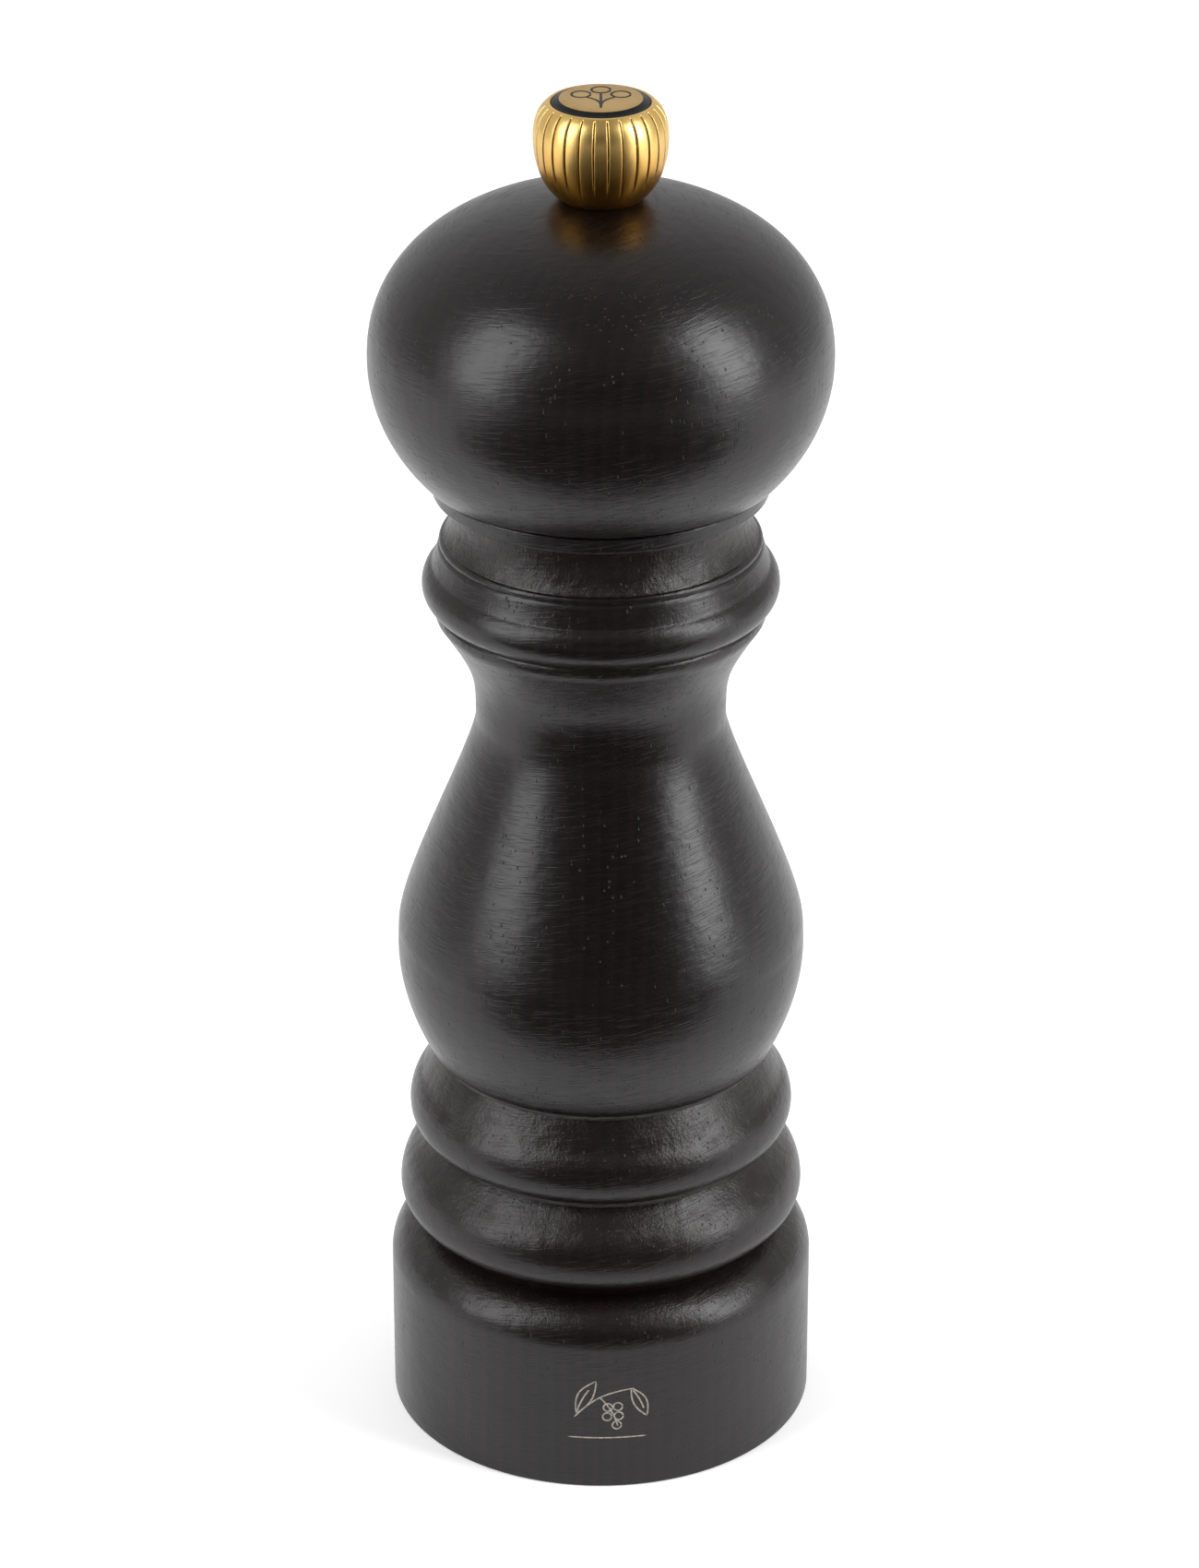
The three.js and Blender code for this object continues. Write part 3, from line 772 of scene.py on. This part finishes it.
@dataclass
class BrassKnob:
    """The fluted nut, and the disc let into its top with a black border and a small motif."""

    flutes: int = 28
    columns_per_flute: int = 28
    flank_rows: tuple[int, int, int] = (44, 34, 8)
    groove_mm: float = 0.24
    crown_mm: float = 0.035
    bottom: float = 167.25
    foot_r: float = 4.7
    seat: Ring = Ring(4.45, 168.1)
    waist: Ring = Ring(8.22, 175.0)
    lip_r: float = 6.45
    top: float = 179.5
    disc_r: float = 6.05
    disc_bed: float = 178.6
    border_r: float = 5.1
    insert: Ring = Ring(4.3, 170.2)
    hole_r: float = 3.3

    def outline(self) -> Outline:
        """The knob without its flutes: up the outside, over the lip, and down the bore."""
        line = Outline(self.foot_r, self.bottom)
        rise, shoulder, lip = self.flank_rows
        line.curve((6.9, 168.5), (self.waist.r, 171.5), (self.waist.r, self.waist.z), rise)
        line.curve((self.waist.r, 177.1), (7.75, 178.3), (self.lip_r + 0.42, 179.1), shoulder)
        line.curve((self.lip_r + 0.15, 179.34), (self.lip_r, self.top), (self.lip_r - 0.2, self.top), lip)
        line.line(self.disc_r + 0.12, self.top, 1)
        line.line(self.disc_r, self.top - 0.12, 1)
        line.line(self.disc_r, self.disc_bed, 2)
        line.line(self.insert.r, self.disc_bed, 1)
        line.line(self.insert.r, self.insert.z, 2)
        line.line(self.hole_r, self.insert.z, 1)
        line.line(self.hole_r, self.seat.z, 2)
        line.line(self.seat.r, self.seat.z, 1)
        line.line(self.seat.r, self.bottom, 1)
        return line

    def shell(self) -> bpy.types.Object:
        """Presses the flutes into the turned knob.

        With u the distance from the middle of a rib, 0 there and 1 in the groove, the surface sinks by
        groove x step(u) + crown x u squared, faded out towards the lip and the foot.
        """
        points = np.array(self.outline().points)
        columns = self.flutes * self.columns_per_flute
        share = np.arange(columns) / self.columns_per_flute + 0.5
        u = np.abs(share % 1.0 - 0.5) * 2
        groove = _smooth(u, 0.82, 0.99)
        z = points[:, 1]
        outer = (np.arange(len(z)) < 1 + sum(self.flank_rows)).astype(float)
        fade = outer * _smooth(z, 168.9, 174.2) * _smooth(z, 179.4, 179.0)
        crowned = outer * _smooth(z, 168.4, 172.0) * _smooth(z, 179.4, 178.6)
        sink = fade[:, None] * groove * self.groove_mm + crowned[:, None] * u ** 2 * self.crown_mm
        radius = points[:, :1] - sink
        height = np.broadcast_to(z[:, None], radius.shape)
        return surface("fluted_knob", turn_grid(radius, height, columns), [Brass().make()], close_rows=True,
                       fields={"sunk": fade[:, None] * groove}, crease=50)

    def disc_height(self, radius: Array | float) -> Array | float:
        """The disc's top: nearly flat, then falling half a millimetre across its border."""
        return 180.0 - 0.04 * (radius / self.border_r) ** 2 - 0.46 * _smooth(radius, 4.7, self.disc_r)

    def disc(self) -> bpy.types.Object:
        """The brass-coloured middle of the disc, from the axis out to its border."""
        r = np.linspace(0, self.border_r - 0.02, 14)
        line = Outline(0, 178.9)
        line.line(self.border_r - 0.02, 178.9)
        line.add_points(np.stack([r, self.disc_height(r)], axis=1)[::-1])
        face = Metal("disc_face", (0.50, 0.32, 0.12), (0.62, 0.42, 0.17), 0.42, (1500, 1500, 1500), 0.004)
        return turned_piece("cap_disc", line, [face.make()], 96)

    def border(self, enamel: bpy.types.Material) -> bpy.types.Object:
        """The black enamelled border round the disc."""
        r = np.linspace(self.border_r, self.disc_r - 0.03, 8)
        line = Outline(self.border_r, 178.9)
        line.line(self.disc_r - 0.03, 178.9)
        line.add_points(np.stack([r, self.disc_height(r) + 0.01], axis=1)[::-1])
        return turned_piece("cap_border", line, [enamel], 128)

    def emblem(self, enamel: bpy.types.Material) -> list[bpy.types.Object]:
        """Three peppercorns on a forked stalk, in fine raised lines on the disc."""
        drawing = [circle(x, y, 1.15) for x, y in ((-2.4, 1.1), (0.0, 2.75), (2.4, 1.1))]
        drawing += [sweep_arc((-1.8, 0.1), (0.0, -3.3), 0.6), sweep_arc((1.8, 0.1), (0.0, -3.3), -0.6),
                    sweep_arc((0.0, 1.6), (0.0, -3.9), 0.0)]
        pieces = []
        for number, (x, y) in enumerate(drawing, 1):
            path = np.stack([x, y, self.disc_height(np.hypot(x, y)) + 0.01], axis=1)
            up = np.broadcast_to((0.0, 0.0, 1.0), path.shape)
            pieces.append(stroke(f"cap_emblem_{number}", path, up, 0.16, 0.03, enamel))
        return pieces

    def washer(self) -> bpy.types.Object:
        """The plain washer that the knob's foot hides."""
        _, bottom, top = node_size("seat_washer")
        hole, face, outer, edge = 2.9, 3.7, 3.8, 0.1
        line = Outline(hole, bottom).line(face, bottom).line(outer, bottom + edge).line(outer, top - edge)
        line.line(face, top).line(hole, top)
        brass = Metal("washer_brass", (0.50, 0.30, 0.09), (0.62, 0.40, 0.14), 0.36)
        return turned_piece("fine_seat_washer", line, [brass.make()], 64, 25)

    def build(self) -> None:
        """Makes the knob, its disc and its washer."""
        black, mottled = (0.004, 0.004, 0.005), (0.008, 0.008, 0.009)
        enamel = Coating("black_enamel", black, mottled, 0.35, shine=0.15).make()
        settle(self.shell(), Body.KNOB, Slot.BRASS, "knob")
        settle(self.disc(), Body.KNOB, Slot.DISC, "knob_cap")
        settle(self.washer(), Body.HEAD, Slot.BRASS, "seat_washer")
        for piece in (self.border(enamel), *self.emblem(enamel)):
            settle(piece, Body.KNOB, Slot.DISC)


def circle(x: float, y: float, radius: float) -> tuple[Array, Array]:
    """A closed round line, as its coordinates."""
    t = np.linspace(0, FULL_TURN, 33)
    return x + radius * np.cos(t), y + radius * np.sin(t)


def sweep_arc(start: tuple[float, float], end: tuple[float, float], sag: float) -> tuple[Array, Array]:
    """A bowed line: straight from start to end, plus sag x sin(pi t) square to it."""
    t = np.linspace(0, 1, 17)
    dx, dy = end[0] - start[0], end[1] - start[1]
    length = math.hypot(dx, dy)
    bow = sag * np.sin(math.pi * t)
    return start[0] + dx * t - dy / length * bow, start[1] + dy * t + dx / length * bow


def tube(path: Array, across: Array, up: Array, half: tuple[float, float], sides: int) -> Array:
    """Carries a flat ellipse along a path: path + a cos v across + b sin v up, with v round the section.

    Args:
        path: points in millimetres, shaped (count, 3).
        across: the direction of the ellipse's first half-width at each point.
        up: the direction of its second.
        half: the half-widths a and b, in millimetres. Both shrink to nothing at the path's ends.
        sides: how many points the section has.

    Returns:
        Points in metres, shaped (count, sides, 3).
    """
    v = np.arange(sides) * FULL_TURN / sides
    swell = np.ones(len(path))
    swell[[0, -1]] = 0
    ring = (half[0] * np.cos(v))[None, :, None] * across[:, None] \
        + (half[1] * np.sin(v))[None, :, None] * up[:, None]
    return (path[:, None] + swell[:, None, None] * ring) * MM


def headings(path: Array) -> Array:
    """The unit direction of a path at each of its points."""
    along = np.gradient(path, axis=0)
    return along / np.linalg.norm(along, axis=1, keepdims=True)


def stroke(name: str, path: Array, outward: Array, half_width: float, height: float,
           material: bpy.types.Material) -> bpy.types.Object:
    """A thin raised line: a flat ellipse carried along a path, shrunk to a point at both ends.

    Args:
        name: the piece's name.
        path: points in millimetres, shaped (count, 3).
        outward: the surface's direction at each point.
        half_width: half the line's width in millimetres.
        height: how high it stands, in millimetres.
        material: its finish.

    Returns:
        The object.
    """
    grid = tube(path, np.cross(outward, headings(path)), outward, (half_width, height), 8)
    return surface(name, grid, [material], close_rows=False, crease=80)


@dataclass
class FootMark:
    """A small printed sprig with a rule below it, on the front of the foot."""

    foot_r: float = 27.6
    middle: tuple[float, float] = (0.7, 10.2)

    def drawing(self) -> list[tuple[Array, Array]]:
        """The lines of the mark about its own middle: stalk, two leaves, five berries and the rule."""
        stalk = [sweep_arc((-4.3, 0.2), (3.7, 4.7), 1.1), sweep_arc((-0.9, 3.5), (1.5, -1.0), 0.35)]
        leaves = [sweep_arc((-3.9, 0.9), (-1.3, 5.9), bow) for bow in (1.15, -0.75)]
        leaves += [sweep_arc((3.2, 4.7), (5.3, 0.3), bow) for bow in (1.0, -0.7)]
        veins = [sweep_arc((-3.9, 0.9), (-2.2, 4.6), 0.2), sweep_arc((3.4, 4.4), (4.9, 1.4), 0.15)]
        places = ((0.2, 1.9), (1.5, 2.0), (0.1, 0.5), (1.6, 0.6), (1.35, -0.8))
        berries = [circle(x, z, 0.58) for x, z in places]
        return [*stalk, *leaves, *veins, *berries, sweep_arc((-5.1, -2.7), (5.3, -2.7), 0.0)]

    def build(self) -> None:
        """Wraps every line round the foot: x along the front becomes the angle x / radius."""
        ink = Coating("warm_grey_ink", (0.36, 0.32, 0.27), (0.20, 0.175, 0.15), 0.6, 2600).make()
        for number, (x, z) in enumerate(self.drawing(), 1):
            angle = (x + self.middle[0]) / self.foot_r - math.pi / 2
            outward = np.stack([np.cos(angle), np.sin(angle), np.zeros_like(angle)], axis=1)
            path = outward * self.foot_r + np.stack([0 * z, 0 * z, z + self.middle[1]], axis=1)
            piece = stroke(f"foot_mark_{number:02d}", path, outward, 0.10, 0.02, ink)
            settle(piece, Body.MILL, Slot.WOOD)


def _smooth(x: Array, low: float, high: float) -> Array:
    """A smooth step from 0 at low to 1 at high; low may be the larger of the two."""
    t = np.clip((x - low) / (high - low), 0, 1)
    return t * t * (3 - 2 * t)


# ------------------------------------------------------------------------------------ grinding set


def square_radius(half_side: float, corner: float, columns: int) -> Array:
    """The radius of a square with its corners cut round: half side / max(|cos|, |sin|), at most corner."""
    angle = np.arange(columns) * FULL_TURN / columns
    return np.minimum(half_side / np.maximum(np.abs(np.cos(angle)), np.abs(np.sin(angle))), corner)


def ring_rows(rows: Sequence[tuple[Array | float, float]], columns: int) -> Array:
    """A grid from rows that each have one height, and one radius or a radius for each column."""
    radius = np.stack([np.broadcast_to(r, columns) for r, _ in rows])
    height = np.broadcast_to(np.array([z for _, z in rows])[:, None], radius.shape)
    return turn_grid(radius, height, columns)


def node_size(node: str) -> tuple[float, float, float]:
    """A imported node's outer radius, bottom and top, in millimetres."""
    low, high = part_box(node)
    return high[0] / MM, low[2] / MM, high[2] / MM


@dataclass
class Washers:
    """Plates and washers with a square hole for the shaft, their outer edges broken by a small chamfer."""

    columns: int = 96
    half_side: float = 3.1
    corner: float = 3.95
    chamfer: float = 0.15

    def washer(self, name: str, node: str, finish: bpy.types.Material) -> bpy.types.Object:
        """One washer, as large as its node."""
        outer, bottom, top = node_size(node)
        hole = square_radius(self.half_side, self.corner, self.columns)
        c = self.chamfer
        rows = [(hole, bottom), (outer - c, bottom), (outer, bottom + c), (outer, top - c),
                (outer - c, top), (hole, top)]
        return surface(name, ring_rows(rows, self.columns), [finish], close_rows=True, crease=25)

    def build(self) -> None:
        """Makes the washer under the head's load, the one that holds the rotor, and the drive plate."""
        steel = Metal("zinc_plate", (0.50, 0.50, 0.49), (0.63, 0.63, 0.61), 0.30).make()
        for node, body in (("thrust_washer", Body.DRIVE), ("rotor_washer", Body.SPINDLE),
                           ("drive_plate", Body.HEAD)):
            settle(self.washer(f"fine_{node}", node, steel), body, Slot.BRIGHT_STEEL, node)


@dataclass
class GrindingSet:
    """The fixed and the turning cone, with leaning saw teeth, and the plate that holds them in."""

    teeth: int = 20
    columns_per_tooth: int = 14
    depth: float = 0.9
    lean: float = 0.045
    rows: int = 26
    flat: float = 2.4
    throat_r: float = 11.0
    mouth_r: float = 13.6
    rotor_foot_r: float = 10.6
    rotor_head_r: float = 7.6
    hole_half_side: float = 3.1
    hole_corner: float = 3.95
    pocket: Ring = Ring(5.8, 11.6)

    def saw(self, height: Array) -> Array:
        """Tooth height from 0 to 1: the fraction of teeth x (angle / turn + lean x height).

        The steep side is eased over the first fifteenth, so that it isn't a zero-width wall.
        """
        columns = self.teeth * self.columns_per_tooth
        angle = np.arange(columns) / columns
        phase = (self.teeth * (angle + self.lean * height[:, None])) % 1.0
        return np.minimum(phase, (1 - phase) * 14)

    def cone(self, low_r: float, high_r: float, span: tuple[float, float]) -> tuple[Array, Array]:
        """Radii and heights up a cone that starts with a straight stretch."""
        height = np.linspace(*span, self.rows)
        rise = np.clip((height - span[0] - self.flat) / (span[1] - span[0] - self.flat), 0, 1)
        return low_r + (high_r - low_r) * rise, height

    def stator(self, finish: bpy.types.Material) -> bpy.types.Object:
        """The fixed ring, its teeth cut into the bore."""
        outer, bottom, top = node_size("stator")
        radius, height = self.cone(self.throat_r, self.mouth_r, (bottom, top))
        toothed = radius[:, None] + self.depth * self.saw(height)
        columns = toothed.shape[1]
        rows = [(outer - 0.3, bottom), (outer, bottom + 0.3), (outer, top - 0.3), (outer - 0.3, top)]
        rows += list(zip(toothed[::-1], height[::-1]))
        return surface("fine_stator", ring_rows(rows, columns), [finish], close_rows=True, crease=35)

    def rotor(self, finish: bpy.types.Material) -> bpy.types.Object:
        """The turning cone, with a square hole for the shaft and a pocket for the spring."""
        _, bottom, top = node_size("rotor")
        radius, height = self.cone(self.rotor_foot_r, self.rotor_head_r, (bottom, top))
        toothed = radius[:, None] - self.depth * self.saw(height)
        columns = toothed.shape[1]
        hole = square_radius(self.hole_half_side, self.hole_corner, columns)
        rows = [(hole, bottom), (8.5, bottom)]
        rows += list(zip(toothed, height))
        rows += [(self.pocket.r, top), (self.pocket.r, self.pocket.z), (hole, self.pocket.z)]
        return surface("fine_rotor", ring_rows(rows, columns), [finish], close_rows=True, crease=35)

    def build(self) -> None:
        """Makes both cones and the plate."""
        steel = Metal("hardened_steel_teeth", (0.11, 0.11, 0.115), (0.20, 0.20, 0.20), 0.40).make()
        settle(self.stator(steel), Body.MILL, Slot.GRINDING_STEEL, "stator")
        settle(self.rotor(steel), Body.SPINDLE, Slot.GRINDING_STEEL, "rotor")
        plate = Outline(12.4, 7.2).line(20.0, 7.2).line(20.2, 7.4).line(20.2, 8.5).line(20.0, 8.7)
        plate.line(12.2, 8.7).line(12.2, 7.4)
        zinc = Metal("stamped_plate", (0.55, 0.55, 0.54), (0.68, 0.68, 0.66), 0.28, (700, 2600, 700))
        settle(turned_piece("fine_retaining_plate", plate, [zinc.make()], 128, 25), Body.MILL,
               Slot.BRIGHT_STEEL, "retaining_plate")


@dataclass
class Shaft:
    """The square shaft with a round thread on top and a groove for its clip."""

    columns: int = 72
    half_side: float = 2.8
    corner: float = 3.6
    bottom: float = 4.9
    groove: tuple[float, float] = (6.1, 7.3)
    groove_r: float = 2.2
    shoulder: float = 160.0
    top: float = 176.4
    thread_r: float = 2.45
    thread_depth: float = 0.35
    pitch: float = 0.8

    def thread(self) -> tuple[Array, Array]:
        """Radii and heights of the thread.

        The radius is the root plus depth x a triangle wave of height / pitch - angle / turn, and it
        fades out at both ends.
        """
        height = np.linspace(self.shoulder + 0.4, self.top - 0.3, 230)
        turn = np.arange(self.columns) / self.columns
        phase = (height[:, None] / self.pitch - turn) % 1.0
        ridge = np.clip(1.5 - 4 * np.abs(phase - 0.5), 0, 1)
        fade = _smooth(height, self.shoulder + 1.5, self.shoulder + 3)
        fade = fade * _smooth(height, self.top, self.top - 1)
        return self.thread_r - self.thread_depth * (1 - ridge * fade[:, None]), height

    def build(self) -> None:
        """Makes the shaft as one surface with poles on the axis."""
        square = square_radius(self.half_side, self.corner, self.columns)
        low, high = self.groove
        root = self.thread_r - self.thread_depth
        rows = [(0, self.bottom), (square * 0.86, self.bottom), (square, self.bottom + 0.5), (square, low),
                (self.groove_r, low), (self.groove_r, high), (square, high)]
        rows += [(square, z) for z in np.linspace(high + 2, self.shoulder - 0.4, 40)]
        rows += [(square * 0.9, self.shoulder), (root, self.shoulder)]
        radius, height = self.thread()
        rows += list(zip(radius, height))
        rows += [(root - 0.35, self.top), (0, self.top)]
        steel = Metal("drawn_steel", (0.50, 0.50, 0.50), (0.64, 0.64, 0.63), 0.27, (2600, 2600, 160), 0.002)
        grid = ring_rows(rows, self.columns)
        shaft = surface("fine_shaft", grid, [steel.make()], close_rows=False, crease=30)
        settle(shaft, Body.SPINDLE, Slot.BRIGHT_STEEL, "shaft")


@dataclass
class Spring:
    """The coil spring that keeps the rotor down, as tall as its node."""

    mean_r: float = 4.9
    wire_r: float = 0.45
    turns: float = 5.0
    steps_per_turn: int = 40
    wire_sides: int = 16

    def coil(self) -> Array:
        """Carries the wire's round section along a helix.

        With a the angle, the helix is (R cos a, R sin a, rise). The section lies in the plane of the
        outward direction and of the one square to it and to the helix.
        """
        _, bottom, top = node_size("spring")
        t = np.linspace(0, 1, int(self.turns * self.steps_per_turn) + 1)
        angle = t * self.turns * FULL_TURN
        rise = top - bottom - 2 * self.wire_r
        centre = np.stack([self.mean_r * np.cos(angle), self.mean_r * np.sin(angle),
                           bottom + self.wire_r + rise * t], axis=1)
        outward = np.stack([np.cos(angle), np.sin(angle), 0 * angle], axis=1)
        up = np.cross(outward, headings(centre))
        return tube(centre, outward, up, (self.wire_r, self.wire_r), self.wire_sides)

    def build(self) -> None:
        """Makes the spring where its node stands, on no body, and hides the node."""
        wire = Metal("spring_steel_wire", (0.30, 0.30, 0.30), (0.44, 0.43, 0.41), 0.30).make()
        piece = surface("coil_spring", self.coil()[:, ::-1], [wire], close_rows=False, crease=80)
        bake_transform(piece)
        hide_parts("spring")
        log.info("%s: %d faces between the drive and the rotor", piece.name, len(piece.data.polygons))


# -------------------------------------------------------------------------------------------- stage


@dataclass
class Studio:
    """Pale floor, two tall soft boxes, pale surroundings with a dark front, and the camera."""

    camera_distance: float = 0.6313
    camera_height: float = 0.4004
    camera_pitch: float = 26.32
    camera_shift: float = -0.0009
    lens: float = 127.06
    card_near: float = -0.085
    aim: Vector = field(default_factory=lambda: Vector((0, 0, 0.10)))

    def camera(self) -> None:
        """Puts the camera in front of the mill, looking down at it."""
        data = bpy.data.cameras.new("camera")
        data.lens = self.lens
        data.sensor_fit = "AUTO"
        data.sensor_width = 36.0
        data.shift_x = self.camera_shift
        data.clip_start = 0.01
        eye = add_object("camera", data)
        eye.location = (0, -self.camera_distance, self.camera_height)
        eye.rotation_euler = (math.radians(90 - self.camera_pitch), 0, 0)
        bpy.context.scene.camera = eye

    def soft_box(self, name: str, azimuth: float, elevation: float, distance: float,
                 size: tuple[float, float], power: float, shines: bool = True) -> None:
        """Hangs a soft box.

        Args:
            name: the lamp's name.
            azimuth: degrees round the mill, 0 at the front and positive to the right.
            elevation: degrees above the horizon.
            distance: metres from the middle of the mill.
            size: width and height in metres.
            power: watts.
            shines: whether the pieces mirror it, or are only lit by it.
        """
        data = bpy.data.lights.new(name, "AREA")
        data.shape = "RECTANGLE"
        data.size, data.size_y = size
        data.energy = power
        lamp = add_object(name, data)
        turn, rise = math.radians(azimuth), math.radians(elevation)
        away = Vector((math.sin(turn) * math.cos(rise), -math.cos(turn) * math.cos(rise), math.sin(rise)))
        lamp.location = self.aim + away * distance
        lamp.rotation_euler = away.to_track_quat("Z", "Y").to_euler()
        lamp.visible_glossy = shines

    def surroundings(self) -> None:
        """A pale world that darkens towards the front, where the dark studio lies behind the camera."""
        g = Graph("studio", bpy.data.worlds)
        bpy.context.scene.world = g.material
        way = g.add("ShaderNodeTexCoord", output="Generated")
        front = g.add("ShaderNodeSeparateXYZ", {}, {0: way}, "Y")
        up = front.sibling("Z")
        light = (front.step(-0.8, 0.9) * 0.74 + 0.02).highest(up.step(0.1, 0.8) * 0.22)
        white = (1.0, 1.0, 1.0, 1.0)
        background = g.add("ShaderNodeBackground", {}, {"Color": white, "Strength": light})
        g.end("ShaderNodeOutputWorld", background)

    def _sheet(self, name: str, corners: list[tuple[float, float, float]],
               finish: bpy.types.Material) -> bpy.types.Object:
        """Adds a flat four-cornered sheet that belongs to the stage."""
        mesh = bpy.data.meshes.new(name)
        mesh.from_pydata(corners, [], [(0, 1, 2, 3)])
        mesh.materials.append(finish)
        sheet = add_object(name, mesh)
        return sheet

    def floor(self) -> None:
        """A wide pale floor, a shade under the foot so that the two don't share a plane."""
        half, drop = 40.0, -0.00005
        corners = [(-half, -half, drop), (half, -half, drop), (half, half, drop), (-half, half, drop)]
        white = (0.93, 0.93, 0.93, 1.0)
        self._sheet("floor", corners, Graph("pale_floor").finish(
            Base_Color=white, Roughness=0.9, Emission_Color=white, Emission_Strength=0.32))

    def dark_card(self) -> None:
        """A black card low in front of the mill. It shows only in the shine of the pieces."""
        near, far, side, narrow = self.card_near, -1.2, 0.9, 0.315
        low, high = 0.0006, 0.02
        corners = [(-narrow, near, low), (-side, far, high), (side, far, high), (narrow, near, low)]
        black = Graph("black_card").finish(Base_Color=(0.02, 0.02, 0.02, 1.0), Roughness=1.0)
        card = self._sheet("dark_card", corners, black)
        card.visible_camera = card.visible_diffuse = card.visible_shadow = False

    def build(self) -> None:
        """Sets up the whole stage."""
        bpy.context.scene.view_settings.view_transform = "Standard"
        self.camera()
        self.surroundings()
        self.floor()
        self.dark_card()
        self.soft_box("soft_box_left", -62, 29, 1.0, (0.50, 0.95), 7.4)
        self.soft_box("soft_box_right", 69, 27, 1.0, (0.36, 0.90), 9.0)
        self.soft_box("fill_from_above", 180, 80, 1.6, (1.6, 1.6), 4.5, shines=False)


# --------------------------------------------------------------------------------------------- main


def dress_nodes() -> None:
    """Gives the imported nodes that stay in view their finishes, by material slot."""
    finishes = {
        Slot.GRINDING_STEEL: Metal("hardened_steel", (0.13, 0.13, 0.135), (0.22, 0.22, 0.22), 0.42),
        Slot.BRIGHT_STEEL: Metal("bright_steel", (0.52, 0.52, 0.51), (0.66, 0.66, 0.65), 0.30),
        Slot.SPRING_STEEL: Metal("spring_wire", (0.34, 0.34, 0.34), (0.48, 0.47, 0.45), 0.33),
        Slot.BUSH: Coating("nylon", (0.70, 0.66, 0.56), (0.78, 0.74, 0.64), 0.5),
        Slot.BRASS: Metal("plain_brass", (0.62, 0.42, 0.15), (0.74, 0.52, 0.22), 0.32),
    }
    made = {slot.value: finish.make() for slot, finish in finishes.items()}
    for part in frame["record"]["subparts"]:
        node, slot = part["node"], part["material_slot"]
        if slot in made:
            mesh = frame["nodes"][node].data
            mesh.materials.clear()
            mesh.materials.append(made[slot])


def main() -> None:
    """Builds the stage and every piece in order, and logs each."""
    logging.basicConfig(level=logging.INFO, format="%(name)s: %(message)s")
    for assembly in (Studio(), WoodenBody(), WoodenHead(), BrassKnob(), FootMark(), Washers(),
                     GrindingSet(), Shaft(), Spring()):
        assembly.build()
    dress_nodes()


if __name__ == "__main__":
    main()
